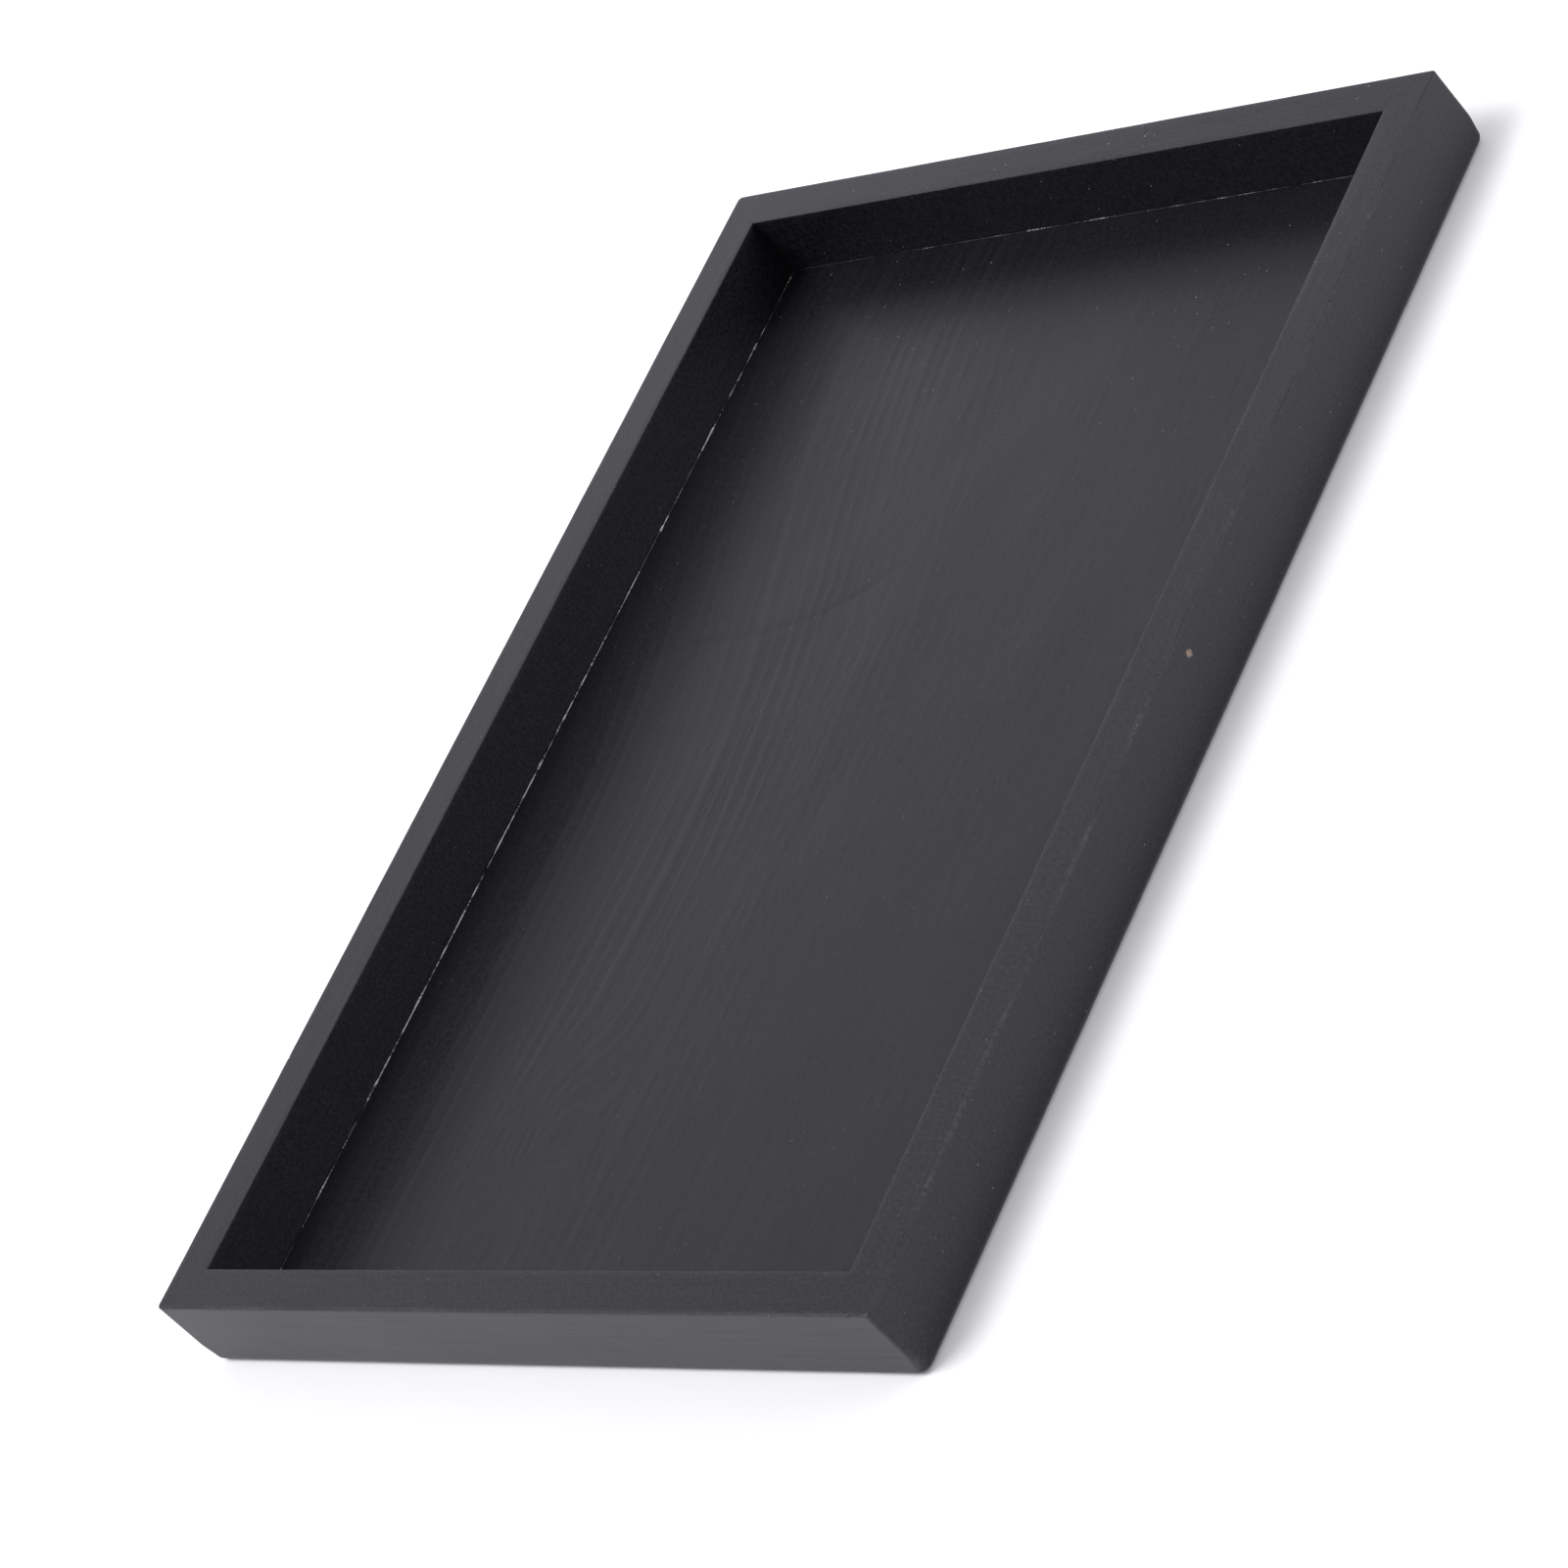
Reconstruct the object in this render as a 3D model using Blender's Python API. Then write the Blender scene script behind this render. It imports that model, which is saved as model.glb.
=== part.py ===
"""Shadow box, open tray type: four mitred rails, a plywood back panel in their rebate, and its fixings.

The box lies on its back and opens upwards, +Z. X runs across it, Y along it, and the origin is the
middle of the back. Each rail is an extruded section whose ends are cut at the mitre, trimmed to one
rounded block that gives all four the same sanded edges. V-nails hold the mitres, and panel pins hold
the board. Run with: blender --background --python part.py
"""

import math

import bmesh
import bpy
from mathutils import Matrix, Vector

MM = 0.001

# Driving dimensions
BOX_WIDTH = 200 * MM  # outside, along X
BOX_LENGTH = 300 * MM  # outside, along Y
BOX_HEIGHT = 20 * MM  # back to rim
RAIL_WIDTH = 9.5 * MM  # outer face to inner face
REBATE_WIDTH = 5 * MM  # how far the rebate reaches out from the inner face
PANEL_THICKNESS = 3 * MM
PANEL_RECESS = 0.75 * MM  # the panel's back stands this far inside the rails' backs

# Clearances
SEAT_GAP = 0.3 * MM  # between a piece and what it rests on or fits in
MITRE_GAP = 0.3 * MM  # between two rails, across the mitre

# Sanded edges
CORNER_RADIUS = 1 * MM  # upright corners
RIM_RADIUS = 0.4 * MM  # both edges of the rim
BACK_RADIUS = 2 * MM  # round the outside of the back
ARC_STEPS = 5  # facets in a quarter turn

# V-nails: a bent strip with a leg in each rail, driven from the back
V_LEG = 3.6 * MM
V_STRIP = 0.5 * MM
V_HEIGHT = 7 * MM
V_SUNK = 0.3 * MM  # how far the nail sits below the surface it was driven through

# Panel pins: a round wire with a flat head
PIN_DIAMETER = 1.2 * MM
PIN_HEAD_DIAMETER = 2.4 * MM
PIN_HEAD_THICKNESS = 0.4 * MM
PIN_LENGTH = 12 * MM
PIN_POINT = 1.5 * MM
PINS_LONG_SIDE = 3
PINS_SHORT_SIDE = 2
PIN_FACETS = 16

# Worked out from the above
LIP_WIDTH = RAIL_WIDTH - REBATE_WIDTH
PANEL_FACE = PANEL_RECESS + PANEL_THICKNESS
SHOULDER = PANEL_FACE + SEAT_GAP
PANEL_WIDTH = BOX_WIDTH - 2 * (LIP_WIDTH + SEAT_GAP)
PANEL_LENGTH = BOX_LENGTH - 2 * (LIP_WIDTH + SEAT_GAP)
PIN_INSET = LIP_WIDTH + REBATE_WIDTH / 2  # outer face to the pins' line
PIN_HEAD_TOP = PANEL_RECESS - SEAT_GAP
OVERCUT = 1 * MM  # how far a cutter runs past the surface it cuts


def clear_scene():
    for thing in list(bpy.data.objects):
        bpy.data.objects.remove(thing, do_unlink=True)


def painted(name, colour, roughness, metallic=0.0):
    material = bpy.data.materials.new(name)
    material.use_nodes = True
    shader = material.node_tree.nodes["Principled BSDF"]
    shader.inputs["Base Color"].default_value = (*colour, 1)
    shader.inputs["Roughness"].default_value = roughness
    shader.inputs["Metallic"].default_value = metallic
    material.diffuse_color = (*colour, 1)
    return material


def new_object(name, work, material=None):
    """Turn a finished bmesh into an object, with round stretches shaded smooth."""
    bmesh.ops.recalc_face_normals(work, faces=work.faces)
    mesh = bpy.data.meshes.new(name)
    work.to_mesh(mesh)
    work.free()
    if material:
        mesh.materials.append(material)
    mesh.shade_smooth()
    mesh.set_sharp_from_angle(angle=math.radians(30))
    made = bpy.data.objects.new(name, mesh)
    bpy.context.scene.collection.objects.link(made)
    return made


def as_cutter(made):
    made.hide_render = True
    made.display_type = "WIRE"
    return made


def boolean(target, cutter, operation):
    step = target.modifiers.new(cutter.name, "BOOLEAN")
    step.operation = operation
    step.solver = "EXACT"
    step.object = cutter


def loft(work, rings):
    """Skin a stack of rings that all have the same number of points, and close both ends."""
    loops = [[work.verts.new(point) for point in ring] for ring in rings]
    for lower, upper in zip(loops, loops[1:]):
        for i, corner in enumerate(lower):
            following = (i + 1) % len(lower)
            work.faces.new((corner, lower[following], upper[following], upper[i]))
    work.faces.new(reversed(loops[0]))
    work.faces.new(loops[-1])


def quarter_arc(centre, radius, start_angle):
    """Points on a quarter turn, anticlockwise from start_angle, both ends included."""
    for i in range(ARC_STEPS + 1):
        angle = start_angle + math.pi / 2 * i / ARC_STEPS
        yield centre + radius * Vector((math.cos(angle), math.sin(angle)))


def rounded_rectangle(half_x, half_y, radius, height):
    """A ring at one height, with its four corners rounded."""
    ring = []
    corners = ((1, 1), (-1, 1), (-1, -1), (1, -1))
    for quarter, (side_x, side_y) in enumerate(corners):
        centre = Vector((side_x * (half_x - radius), side_y * (half_y - radius)))
        for point in quarter_arc(centre, radius, quarter * math.pi / 2):
            ring.append(Vector((point.x, point.y, height)))
    return ring


def sanded_block():
    """The whole box's outside as one solid: rails are trimmed to it, so their sanded edges agree."""
    levels = []
    for i in range(ARC_STEPS + 1):
        angle = math.pi / 2 * i / ARC_STEPS
        levels.append((BACK_RADIUS * (1 - math.sin(angle)), BACK_RADIUS * (1 - math.cos(angle))))
    for i in range(ARC_STEPS + 1):
        angle = math.pi / 2 * i / ARC_STEPS
        drop = RIM_RADIUS * (1 - math.sin(angle))
        levels.append((RIM_RADIUS * (1 - math.cos(angle)), BOX_HEIGHT - drop))
    work = bmesh.new()
    loft(work, [
        rounded_rectangle(BOX_WIDTH / 2 - inset, BOX_LENGTH / 2 - inset, CORNER_RADIUS, height)
        for inset, height in levels
    ])
    return as_cutter(new_object("sanded_block", work))


def rail_section():
    """The rail's outline across its length, as (distance in from the outer face, height).

    The outer side, the back and the rim stand OVERCUT proud: trimming to the sanded block takes it off.
    """
    outline = [
        (-OVERCUT, -OVERCUT),
        (LIP_WIDTH, -OVERCUT),
        (LIP_WIDTH, SHOULDER),
        (RAIL_WIDTH, SHOULDER),
    ]
    eased = Vector((RAIL_WIDTH - RIM_RADIUS, BOX_HEIGHT - RIM_RADIUS))
    outline += [(point.x, point.y) for point in quarter_arc(eased, RIM_RADIUS, 0)]
    outline += [
        (RAIL_WIDTH - RIM_RADIUS, BOX_HEIGHT + OVERCUT),
        (-OVERCUT, BOX_HEIGHT + OVERCUT),
    ]
    return outline


def rail(name, length, span, turn, block, pockets, material):
    """One rail: length is its own outside length, and span is the box's size across it.

    It is made along X on the -Y side of the box and then turned about Z. A point that lies deeper in
    from the outer face comes nearer the middle of the rail by the same amount, which is the mitre.
    """
    end = length / 2 - MITRE_GAP / math.sqrt(2)
    rings = []
    for side in (-1, 1):
        rings.append([
            Vector((side * (end - depth), -span / 2 + depth, height)) for depth, height in rail_section()
        ])
    work = bmesh.new()
    loft(work, rings)
    bmesh.ops.rotate(work, verts=work.verts, matrix=Matrix.Rotation(turn, 3, "Z"))
    made = new_object(name, work, material)
    boolean(made, block, "INTERSECT")
    boolean(made, pockets, "DIFFERENCE")
    return made


def corner_places():
    """Each corner's name, and the signs of X and Y that lead to it."""
    for end_name, side_y in (("top", 1), ("bottom", -1)):
        for side_name, side_x in (("left", -1), ("right", 1)):
            yield f"{end_name}_{side_name}", side_x, side_y


def v_nail_places():
    """Each V-nail's name, the point of its V, its corner's signs, and the height it starts at.

    The outer one is in the middle of the back lip. The inner one is in the middle of the shoulder,
    where the panel covers it.
    """
    kinds = (("outer", LIP_WIDTH / 2, 0), ("inner", PIN_INSET, SHOULDER))
    for corner, side_x, side_y in corner_places():
        for kind, inset, surface in kinds:
            bend = Vector((side_x * (BOX_WIDTH / 2 - inset), side_y * (BOX_LENGTH / 2 - inset)))
            yield f"v_nail_{corner}_{kind}", bend, side_x, side_y, surface + V_SUNK


def v_strip(work, bend, side_x, side_y, low, high, spare):
    """A bent strip with a leg along each rail from its bend, made larger all round by spare."""
    half = V_STRIP / 2 + spare
    leg = V_LEG + spare
    outline = [
        (half, half), (-leg, half), (-leg, -half), (-half, -half), (-half, -leg), (half, -leg),
    ]
    rings = []
    for height in (low, high):
        rings.append([
            Vector((bend.x + side_x * across, bend.y + side_y * along, height))
            for across, along in outline
        ])
    loft(work, rings)


def side_pins(prefix, count, length, across, turn):
    """Pins spaced evenly along one side, which is the +Y side turned about Z."""
    for i in range(count):
        place = Vector(((i - (count - 1) / 2) * length / count, across / 2 - PIN_INSET, 0))
        yield f"panel_pin_{prefix}_{i + 1}", Matrix.Rotation(turn, 3, "Z") @ place


def pin_places():
    """Each panel pin's name and place, side by side round the box."""
    yield from side_pins("top", PINS_SHORT_SIDE, BOX_WIDTH, BOX_LENGTH, 0)
    yield from side_pins("left", PINS_LONG_SIDE, BOX_LENGTH, BOX_WIDTH, math.pi / 2)
    yield from side_pins("bottom", PINS_SHORT_SIDE, BOX_WIDTH, BOX_LENGTH, math.pi)
    yield from side_pins("right", PINS_LONG_SIDE, BOX_LENGTH, BOX_WIDTH, -math.pi / 2)


def turned(work, place, profile):
    """A round solid about an upright axis through place, from (radius, height) pairs, lowest first."""
    rings = []
    for radius, height in profile:
        rings.append([
            Vector((
                place.x + radius * math.cos(2 * math.pi * i / PIN_FACETS),
                place.y + radius * math.sin(2 * math.pi * i / PIN_FACETS),
                height,
            ))
            for i in range(PIN_FACETS)
        ])
    loft(work, rings)


def fixing_pockets():
    """Everything that the V-nails and the pins need cut away, as one cutter."""
    work = bmesh.new()
    for _, bend, side_x, side_y, low in v_nail_places():
        mouth = low - V_SUNK - (OVERCUT if low < SHOULDER else SEAT_GAP / 2)
        v_strip(work, bend, side_x, side_y, mouth, low + V_HEIGHT + SEAT_GAP, SEAT_GAP)
    bore = PIN_DIAMETER / 2 + SEAT_GAP
    for _, place in pin_places():
        turned(work, place, [(bore, -OVERCUT), (bore, PIN_HEAD_TOP + PIN_LENGTH + SEAT_GAP)])
    return as_cutter(new_object("fixing_pockets", work))


def back_panel(pockets, material):
    half_x = PANEL_WIDTH / 2
    half_y = PANEL_LENGTH / 2
    outline = ((half_x, half_y), (-half_x, half_y), (-half_x, -half_y), (half_x, -half_y))
    work = bmesh.new()
    loft(work, [[Vector((x, y, height)) for x, y in outline] for height in (PANEL_RECESS, PANEL_FACE)])
    made = new_object("back_panel", work, material)
    boolean(made, pockets, "DIFFERENCE")
    return made


def v_nails(material):
    for name, bend, side_x, side_y, low in v_nail_places():
        work = bmesh.new()
        v_strip(work, bend, side_x, side_y, low, low + V_HEIGHT, 0)
        new_object(name, work, material)


def panel_pins(material):
    """Each pin is turned about its own axis: a flat head, a round shank and a blunt point."""
    shank = PIN_DIAMETER / 2
    head = PIN_HEAD_DIAMETER / 2
    tip = PIN_HEAD_TOP + PIN_LENGTH
    for name, place in pin_places():
        work = bmesh.new()
        turned(work, place, [
            (head, PIN_HEAD_TOP - PIN_HEAD_THICKNESS),
            (head, PIN_HEAD_TOP),
            (shank, PIN_HEAD_TOP),
            (shank, tip - PIN_POINT),
            (shank / 4, tip),
        ])
        new_object(name, work, material)


def build():
    clear_scene()
    black_wood = painted("black_painted_wood", (0.045, 0.044, 0.048), 0.5)
    black_board = painted("black_painted_board", (0.040, 0.039, 0.043), 0.55)
    steel = painted("zinc_plated_steel", (0.56, 0.57, 0.58), 0.35, metallic=1.0)
    block = sanded_block()
    pockets = fixing_pockets()
    rail("rail_bottom", BOX_WIDTH, BOX_LENGTH, 0, block, pockets, black_wood)
    rail("rail_right", BOX_LENGTH, BOX_WIDTH, math.pi / 2, block, pockets, black_wood)
    rail("rail_top", BOX_WIDTH, BOX_LENGTH, math.pi, block, pockets, black_wood)
    rail("rail_left", BOX_LENGTH, BOX_WIDTH, -math.pi / 2, block, pockets, black_wood)
    back_panel(pockets, black_board)
    v_nails(steel)
    panel_pins(steel)


build()
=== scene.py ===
# %% [markdown]
# # A shadow box in black painted wood
#
# The real box is a shallow tray: four wooden rails mitred at the corners, and a thin plywood board
# let into a rebate behind them. Everything is sprayed black after it is put together. This lesson
# starts from the working model, which has every piece at its true size, and gives each piece the
# surface that the real one has: sanded edges, the ripple of the veneer, paint that is thin on the
# edges, and the bead in the seam between board and wall.

# %% Load the working model
import math

import bpy
import numpy as np
from mathutils import Matrix, Vector


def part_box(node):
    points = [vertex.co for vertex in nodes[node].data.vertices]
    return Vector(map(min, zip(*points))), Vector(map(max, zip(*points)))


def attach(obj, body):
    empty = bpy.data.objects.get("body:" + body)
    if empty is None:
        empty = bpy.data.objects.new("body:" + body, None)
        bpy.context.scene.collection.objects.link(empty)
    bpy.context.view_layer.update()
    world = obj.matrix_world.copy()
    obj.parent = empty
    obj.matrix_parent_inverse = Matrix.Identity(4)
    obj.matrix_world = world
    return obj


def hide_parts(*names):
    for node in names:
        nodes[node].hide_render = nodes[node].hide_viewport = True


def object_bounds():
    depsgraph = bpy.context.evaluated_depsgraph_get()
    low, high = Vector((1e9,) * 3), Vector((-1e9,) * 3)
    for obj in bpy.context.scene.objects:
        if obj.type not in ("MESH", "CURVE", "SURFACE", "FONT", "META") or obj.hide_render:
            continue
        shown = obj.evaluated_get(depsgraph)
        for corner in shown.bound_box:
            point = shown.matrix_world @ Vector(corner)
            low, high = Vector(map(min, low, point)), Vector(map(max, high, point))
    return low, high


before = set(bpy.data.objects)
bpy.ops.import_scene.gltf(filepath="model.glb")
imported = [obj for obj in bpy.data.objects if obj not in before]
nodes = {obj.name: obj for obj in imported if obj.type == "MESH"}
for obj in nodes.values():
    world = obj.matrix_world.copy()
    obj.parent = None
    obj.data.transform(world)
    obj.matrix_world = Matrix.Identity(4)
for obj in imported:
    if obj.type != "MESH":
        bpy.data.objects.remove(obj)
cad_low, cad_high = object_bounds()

MM = 0.001
print("pieces in the working model:", len(nodes))

# %% [markdown]
# ## Sizes
#
# The looks never move a piece, so every size comes from the boxes of the working model's own pieces.
# Only what is too fine for it is named here: how far an edge is eased, and how closely the wall
# stands on the board. The working model keeps a gap of 0.3 mm there, and on the real box they touch.

# %% Read the sizes from the pieces
rim = cad_high.z
half_width = cad_high.x
half_length = cad_high.y
panel_low, panel_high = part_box("back_panel")
rail_low, rail_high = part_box("rail_right")
rail_width = rail_high.x - rail_low.x
REBATE_GAP = 0.3 * MM
lip_width = half_width - panel_high.x - REBATE_GAP
inner_x = half_width - rail_width
inner_y = half_length - rail_width

RIM_EASE = 0.30 * MM  # radius of the rim's outer edge
INNER_EASE = 0.16 * MM  # radius of the rim's inner edge
BACK_ROUND = 2.0 * MM  # radius of the outer back edge
CORNER_ROUND = 1.0 * MM  # radius of an upright corner at the rim
CORNER_FOOT_ROUND = 2.4 * MM  # the same corner at the back
FOOT_GAP = 0.12 * MM  # from the board to the foot of the wall
MITRE_LINE = 0.002 * MM  # half of the hairline at a mitre
foot = panel_high.z + FOOT_GAP
inside = (2 * inner_x, 2 * inner_y, rim - foot)
print("inside, mm:", " x ".join(str(round(size / MM, 1)) for size in inside))

# %% [markdown]
# ## The camera
#
# The box is seen from one corner, from a little over a metre away through a long lens, with the
# camera rolled so that the box seems to stand on its corner. A camera can be placed by typing its
# matrix, but three angles, a distance and the point it looks at say what is meant and are easy to
# change. The roll is a last turn about the line of sight.

# %% Place the camera
AZIMUTH = 56.77
ELEVATION = 32.97
ROLL = -44.33
DISTANCE = 1.154
LENS = 130.9
NEAREST = 0.05
aim = Vector((-0.0026, -0.0163, 0.010))


def from_angles(azimuth, elevation):
    """The direction from the box to the camera. At azimuth 0 it is -Y, and it turns towards +X."""
    a, e = math.radians(azimuth), math.radians(elevation)
    return Vector((math.sin(a) * math.cos(e), -math.cos(a) * math.cos(e), math.sin(e)))


back = from_angles(AZIMUTH, ELEVATION)
level = (-back).to_track_quat("-Z", "Y").to_matrix().to_4x4()
turn = Matrix.Rotation(math.radians(ROLL), 4, "Z")
camera = bpy.data.objects.new("camera", bpy.data.cameras.new("camera"))
camera.data.lens = LENS
camera.data.clip_start = NEAREST
camera.matrix_world = Matrix.Translation(aim + back * DISTANCE) @ level @ turn
bpy.context.scene.collection.objects.link(camera)
bpy.context.scene.camera = camera
print("camera at, m:", [round(value, 3) for value in camera.matrix_world.translation])

# %% [markdown]
# ## The floor and the light
#
# The box lies on a plain white floor in an even white studio. Black paint shows almost no colour of
# its own: what the eye sees on it is the studio, mirrored dimly. So a dim dome all round fills the
# shade, and two wide, low softboxes behind the box are what its rim and its board mirror. A third
# hangs high in front, where the paint doesn't mirror it, and brightens the floor that the outer walls
# mirror. All of them are a touch cooler than white, which gives the black its cool cast.

# %% Make the studio
scene = bpy.context.scene
scene.view_settings.view_transform = "Standard"

FLOOR_HALF = 4.0
FLOOR_DROP = 0.05 * MM
floor_mesh = bpy.data.meshes.new("floor")
floor_mesh.from_pydata(
    [(x * FLOOR_HALF, y * FLOOR_HALF, -FLOOR_DROP) for x, y in ((-1, -1), (1, -1), (1, 1), (-1, 1))],
    [],
    [(0, 1, 2, 3)],
)
floor = bpy.data.objects.new("floor", floor_mesh)
scene.collection.objects.link(floor)

COOL_WHITE = (0.984, 0.970, 1.033)
DOME = 0.58
world = bpy.data.worlds.new("studio")
scene.world = world
world.use_nodes = True
dome = world.node_tree.nodes["Background"].inputs
dome["Color"].default_value = (*COOL_WHITE, 1)
dome["Strength"].default_value = DOME


def softbox(name, place, wide, high, brightness):
    """A rectangular lamp that faces the middle of the box.

    A lamp's power is its brightness times pi times its area, so that its size can be changed
    without changing how bright it looks in the paint.
    """
    data = bpy.data.lights.new(name, "AREA")
    data.shape = "RECTANGLE"
    data.size = wide
    data.size_y = high
    data.energy = brightness * math.pi * wide * high
    data.color = COOL_WHITE
    made = bpy.data.objects.new(name, data)
    facing = Vector(place).to_track_quat("Z", "Y").to_matrix().to_4x4()
    made.matrix_world = Matrix.Translation(place) @ facing
    made.visible_camera = False
    scene.collection.objects.link(made)
    print(name, "power, W:", round(data.energy, 1))


softbox("low_behind", place=(-2.0, 2.0, 0.62), wide=4.4, high=1.2, brightness=1.35)
softbox("right_behind", place=(1.9, 1.9, 1.15), wide=4.0, high=1.2, brightness=3.7)
softbox("overhead", place=(-0.9, -0.9, 2.6), wide=1.6, high=1.6, brightness=9.2)

# %% [markdown]
# ## Shader sums in plain Python
#
# A finish is a sum of small effects, and node graphs hide such sums. The class below wraps one
# output of a node, so that 1 - mask or grain * 0.3 + dust adds the Math nodes that work it out.
# Every other kind of node comes from one method.

# %% A socket that can be added and multiplied
class Tone:
    """One output of a shader node. Arithmetic on it adds Math nodes to the same material.

    a < b is 1 where a is the smaller, and a | b is the larger of the two.
    """

    def __init__(self, finish, output):
        self.finish = finish
        self.output = output

    def worked(self, operation, first, second):
        settings = {"operation": operation}
        return self.finish.node("ShaderNodeMath", settings, {0: first, 1: second})

    def __add__(self, other):
        return self.worked("ADD", self, other)

    def __radd__(self, other):
        return self.worked("ADD", other, self)

    def __sub__(self, other):
        return self.worked("SUBTRACT", self, other)

    def __rsub__(self, other):
        return self.worked("SUBTRACT", other, self)

    def __mul__(self, other):
        return self.worked("MULTIPLY", self, other)

    def __rmul__(self, other):
        return self.worked("MULTIPLY", other, self)

    def __lt__(self, other):
        return self.worked("LESS_THAN", self, other)

    def __or__(self, other):
        return self.worked("MAXIMUM", self, other)


# %% A material that grows node by node
class Finish:
    """A material on a Principled shader. Sockets given as numbers are set on the shader itself."""

    def __init__(self, name, constants):
        self.material = bpy.data.materials.new(name)
        self.material.use_nodes = True
        self.tree = self.material.node_tree
        self.shader = self.tree.nodes["Principled BSDF"]
        self.feed(self.shader, constants)
        self.place = self.node("ShaderNodeTexCoord", output="Object")

    def feed(self, node, inputs):
        """Sets or links a node's input sockets, named or numbered."""
        for key, value in inputs.items():
            if isinstance(value, Tone):
                self.tree.links.new(value.output, node.inputs[key])
            else:
                node.inputs[key].default_value = value

    def node(self, kind, settings=None, inputs=None, output=0):
        """Adds one node. Its settings go first, because they decide which sockets it has."""
        made = self.tree.nodes.new(kind)
        for key, value in (settings or {}).items():
            setattr(made, key, value)
        self.feed(made, inputs or {})
        return Tone(self, made.outputs[output])

    def noise(self, cells, detail=2.0, roughness=0.5):
        """Soft noise from 0 to 1. cells is how many to the metre, one number or one for each axis."""
        scale = cells if isinstance(cells, tuple) else (cells, cells, cells)
        stretch = {"Vector": self.place, "Scale": scale}
        stretched = self.node("ShaderNodeMapping", {"vector_type": "POINT"}, stretch)
        inputs = {"Vector": stretched, "Scale": 1.0, "Detail": detail, "Roughness": roughness}
        return self.node("ShaderNodeTexNoise", {"noise_dimensions": "3D"}, inputs)

    def ramp(self, value, low, high):
        """0 below low, 1 above high, and a smooth rise between them."""
        inputs = {"Value": value, "From Min": low, "From Max": high}
        return self.node("ShaderNodeMapRange", {"interpolation_type": "SMOOTHSTEP"}, inputs)

    def mixed(self, mask, first, second):
        """first where mask is 0, second where it is 1, as colours.

        A Mix node has sockets for every kind of value. Its colours are inputs 6 and 7 and output 2.
        """
        inputs = {0: mask, 6: first, 7: second}
        return self.node("ShaderNodeMix", {"data_type": "RGBA"}, inputs, output=2)

    def read(self, attribute):
        """A number kept on the mesh's own points."""
        settings = {"attribute_name": attribute, "attribute_type": "GEOMETRY"}
        return self.node("ShaderNodeAttribute", settings, output="Fac")

    def bump(self, height, distance):
        """Turns a height into a tilt of the surface. distance is a height of 1, in metres."""
        return self.node("ShaderNodeBump", {}, {"Height": height, "Distance": distance})


# %% [markdown]
# ## The floor's own material
#
# A floor is in the way of a look at the back. So this one can be seen through from below, by a Mix
# Shader that asks which side is seen. It also lets a ray through that has only just left the box's
# back, because otherwise the back would lie in the dark.

# %% Make the floor one-sided
FLOOR_WHITE = (0.83, 0.835, 0.82, 1)
UNDER_THE_BOX = 2.5 * MM
studio_white = Finish("studio_white", {"Base Color": FLOOR_WHITE, "Roughness": 0.9})
behind = studio_white.node("ShaderNodeNewGeometry", output="Backfacing")
travelled = studio_white.node("ShaderNodeLightPath", output="Ray Length")
clear = studio_white.node("ShaderNodeBsdfTransparent")
opaque = Tone(studio_white, studio_white.shader.outputs[0])
see_through = behind | (travelled < UNDER_THE_BOX)
one_sided = studio_white.node("ShaderNodeMixShader", {}, {0: see_through, 1: opaque, 2: clear})
surface = studio_white.tree.nodes["Material Output"].inputs["Surface"]
studio_white.tree.links.new(one_sided.output, surface)
floor_mesh.materials.append(studio_white.material)
print("nodes in the floor's material:", len(studio_white.tree.nodes))

# %% [markdown]
# ## Unevenness
#
# No planed or sanded face is truly flat, and satin paint shows it, because its mirror image bends.
# The unevenness is a lattice of random heights, read smoothly between its points. It is worked out
# for whole arrays at once, from a fixed seed, so that every run gives the same box.

# %% Smooth random heights
LATTICE = 128


def uneven(across, along, cell_across, cell_along, seed):
    """Random heights from -1 to 1 that change smoothly over one cell each way.

    The four lattice heights round a point are weighted by 6t^5 - 15t^4 + 10t^3 of its place in the
    cell, which makes slope and curvature run on from cell to cell.
    """
    heights = np.random.default_rng(seed).uniform(-1, 1, (LATTICE, LATTICE))
    u = np.asarray(across / cell_across, float)
    v = np.asarray(along / cell_along, float)
    i = np.floor(u).astype(int)
    j = np.floor(v).astype(int)
    s = u - i
    t = v - j
    s = s * s * s * (s * (6 * s - 15) + 10)
    t = t * t * t * (t * (6 * t - 15) + 10)
    i, next_i = i % LATTICE, (i + 1) % LATTICE
    j, next_j = j % LATTICE, (j + 1) % LATTICE
    near = heights[i, j] * (1 - s) + heights[next_i, j] * s
    far = heights[i, next_j] * (1 - s) + heights[next_i, next_j] * s
    return near * (1 - t) + far * t


def step_up(value, low, high):
    """0 below low, 1 above high, with 3t^2 - 2t^3 between."""
    t = np.clip((value - low) / (high - low), 0, 1)
    return t * t * (3 - 2 * t)


def bell(offset, reach):
    """1 in the middle, and e to the minus (offset / reach) squared away from it."""
    return np.exp(-((offset / reach) ** 2))


def plateau(offset, reach):
    """A bell with a flat top: e to the minus (offset / reach) to the fourth."""
    return np.exp(-((offset / reach) ** 4))


# %% [markdown]
# ## From a grid of points to a mesh
#
# Each wooden piece here is an outline carried along a line, so its points form a grid: one column
# for each point of the outline, one row for each step along. The outline is a closed loop, so the
# last column joins the first, and one flat face closes each end.

# %% Skin a grid of points
SHARP_FROM = 40


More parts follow.
